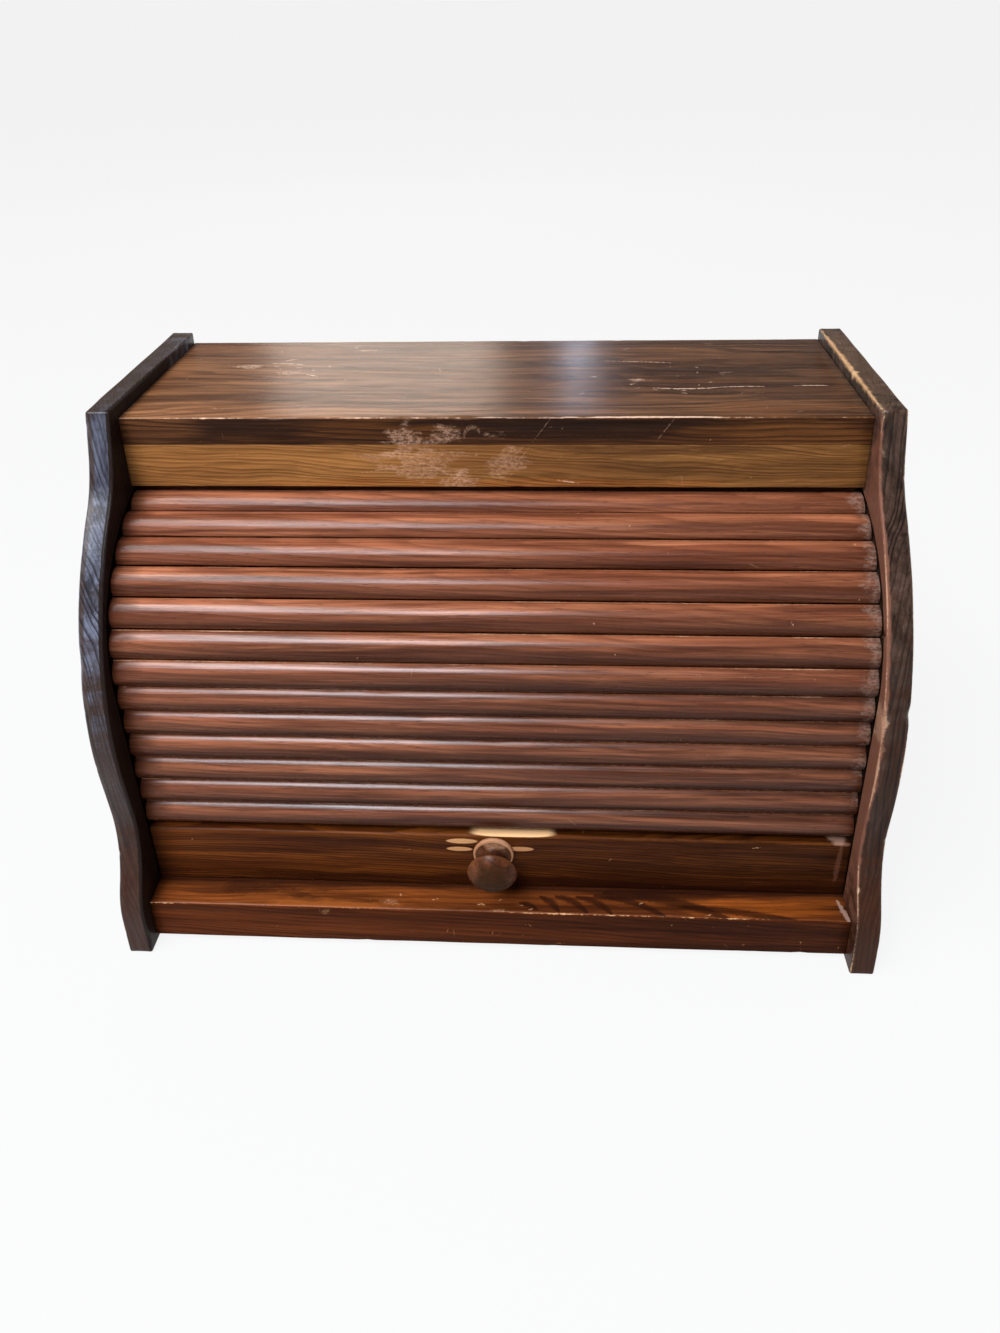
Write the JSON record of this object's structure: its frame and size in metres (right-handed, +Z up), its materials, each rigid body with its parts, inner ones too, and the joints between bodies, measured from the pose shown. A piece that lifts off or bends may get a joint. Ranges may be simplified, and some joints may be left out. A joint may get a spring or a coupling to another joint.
{
  "type": "bread box",
  "caption": "Roll-top wooden bread box: S-shaped side panels, top board, and a tambour of half-round slats with a knobbed lift rail.",
  "frame": {"origin": "centre of the bounding box's bottom, on the table between the side panels", "axes": "+X along the box to the right seen from the front, +Y to the back, +Z up; the tambour and its knob face -Y"},
  "size_m": [0.4264, 0.2134, 0.31],
  "materials": {
    "side_pine": "dark brown stained pine, satin varnish, worn edges",
    "top_pine": "mid brown stained pine, satin varnish, scratched",
    "front_pine": "red brown stained pine, satin varnish, worn edges",
    "slat_pine": "red brown stained pine, gloss varnish",
    "knob_wood": "turned wood, dark red brown stain, worn base",
    "inner_pine": "unstained pine, thin varnish",
    "back_plywood": "plywood, lightly stained",
    "dowel_beech": "bare beech",
    "canvas": "plain woven cotton canvas, glued down",
    "steel": "plain steel"
  },
  "bodies": {
    "case": {"side_left": "side_pine", "side_right": "side_pine", "top_board": "top_pine", "apron": "top_pine", "sill": "front_pine", "floor_board": "inner_pine", "back_panel": "back_plywood", "glue_blocks": "inner_pine", "dowels": "dowel_beech", "back_brads": "steel"},
    "rail": {"lift_rail": "front_pine", "rail_canvas": "canvas", "knob": "knob_wood", "knob_screw": "steel"},
    "tambour_01": {"slat_01": "slat_pine", "canvas_01": "canvas"},
    "tambour_02": {"slat_02": "slat_pine", "canvas_02": "canvas"},
    "tambour_03": {"slat_03": "slat_pine", "canvas_03": "canvas"},
    "tambour_04": {"slat_04": "slat_pine", "canvas_04": "canvas"},
    "tambour_05": {"slat_05": "slat_pine", "canvas_05": "canvas"},
    "tambour_06": {"slat_06": "slat_pine", "canvas_06": "canvas"},
    "tambour_07": {"slat_07": "slat_pine", "canvas_07": "canvas"},
    "tambour_08": {"slat_08": "slat_pine", "canvas_08": "canvas"},
    "tambour_09": {"slat_09": "slat_pine", "canvas_09": "canvas"},
    "tambour_10": {"slat_10": "slat_pine", "canvas_10": "canvas"},
    "tambour_11": {"slat_11": "slat_pine", "canvas_11": "canvas"},
    "tambour_12": {"slat_12": "slat_pine", "canvas_12": "canvas"},
    "tambour_13": {"slat_13": "slat_pine", "canvas_13": "canvas"},
    "tambour_14": {"slat_14": "slat_pine", "canvas_14": "canvas"}
  },
  "joints": [
    {"name": "rail_lift", "type": "hinge", "parent": "case", "child": "rail", "pos_m": [0, 0.10244, 0.1154], "axis": [-1, 0, 0], "range_deg": [0, 63.5]},
    {"name": "slat_01_travel", "type": "hinge", "parent": "case", "child": "tambour_01", "pos_m": [0, 0.05637, 0.1287], "axis": [-1, 0, 0], "range_deg": [0, 83.71]},
    {"name": "slat_02_travel", "type": "hinge", "parent": "case", "child": "tambour_02", "pos_m": [0, 0.03955, 0.13651], "axis": [-1, 0, 0], "range_deg": [0, 95.19]},
    {"name": "slat_03_travel", "type": "hinge", "parent": "case", "child": "tambour_03", "pos_m": [0, 0.02705, 0.14443], "axis": [-1, 0, 0], "range_deg": [0, 106.68]},
    {"name": "slat_04_travel", "type": "hinge", "parent": "case", "child": "tambour_04", "pos_m": [0, 0.01781, 0.15244], "axis": [-1, 0, 0], "range_deg": [0, 118.17]},
    {"name": "slat_05_travel", "type": "hinge", "parent": "case", "child": "tambour_05", "pos_m": [0, 0.01115, 0.16052], "axis": [-1, 0, 0], "range_deg": [0, 129.65]},
    {"name": "slat_06_travel", "type": "hinge", "parent": "case", "child": "tambour_06", "pos_m": [0, 0.00667, 0.16866], "axis": [-1, 0, 0], "range_deg": [0, 141.14]},
    {"name": "slat_07_travel", "type": "hinge", "parent": "case", "child": "tambour_07", "pos_m": [0, 0.00539, 0.17199], "axis": [-1, 0, 0], "range_deg": [0, 145.83]},
    {"name": "slat_08_travel", "type": "hinge", "parent": "case", "child": "tambour_08", "pos_m": [0, 0.00539, 0.17199], "axis": [-1, 0, 0], "range_deg": [0, 145.83]},
    {"name": "slat_09_travel", "type": "hinge", "parent": "case", "child": "tambour_09", "pos_m": [0, 0.00539, 0.17199], "axis": [-1, 0, 0], "range_deg": [0, 145.83]},
    {"name": "slat_10_travel", "type": "hinge", "parent": "case", "child": "tambour_10", "pos_m": [0, 0.00394, 0.168], "axis": [-1, 0, 0], "range_deg": [0, 140.27]},
    {"name": "slat_11_travel", "type": "hinge", "parent": "case", "child": "tambour_11", "pos_m": [0, -0.00048, 0.15975], "axis": [-1, 0, 0], "range_deg": [0, 128.78]},
    {"name": "slat_12_travel", "type": "hinge", "parent": "case", "child": "tambour_12", "pos_m": [0, -0.0071, 0.1515], "axis": [-1, 0, 0], "range_deg": [0, 117.29]},
    {"name": "slat_13_travel", "type": "hinge", "parent": "case", "child": "tambour_13", "pos_m": [0, -0.01636, 0.14325], "axis": [-1, 0, 0], "range_deg": [0, 105.81]},
    {"name": "slat_14_travel", "type": "hinge", "parent": "case", "child": "tambour_14", "pos_m": [0, -0.02893, 0.135], "axis": [-1, 0, 0], "range_deg": [0, 94.32]}
  ],
  "couplings": [
    {"joint": "slat_01_travel", "follows": "rail_lift", "ratio": 1.3179},
    {"joint": "slat_02_travel", "follows": "rail_lift", "ratio": 1.4988},
    {"joint": "slat_03_travel", "follows": "rail_lift", "ratio": 1.6797},
    {"joint": "slat_04_travel", "follows": "rail_lift", "ratio": 1.8606},
    {"joint": "slat_05_travel", "follows": "rail_lift", "ratio": 2.0415},
    {"joint": "slat_06_travel", "follows": "rail_lift", "ratio": 2.2223},
    {"joint": "slat_07_travel", "follows": "rail_lift", "ratio": 2.2962},
    {"joint": "slat_08_travel", "follows": "rail_lift", "ratio": 2.2962},
    {"joint": "slat_09_travel", "follows": "rail_lift", "ratio": 2.2962},
    {"joint": "slat_10_travel", "follows": "rail_lift", "ratio": 2.2086},
    {"joint": "slat_11_travel", "follows": "rail_lift", "ratio": 2.0277},
    {"joint": "slat_12_travel", "follows": "rail_lift", "ratio": 1.8468},
    {"joint": "slat_13_travel", "follows": "rail_lift", "ratio": 1.6659},
    {"joint": "slat_14_travel", "follows": "rail_lift", "ratio": 1.485}
  ]
}
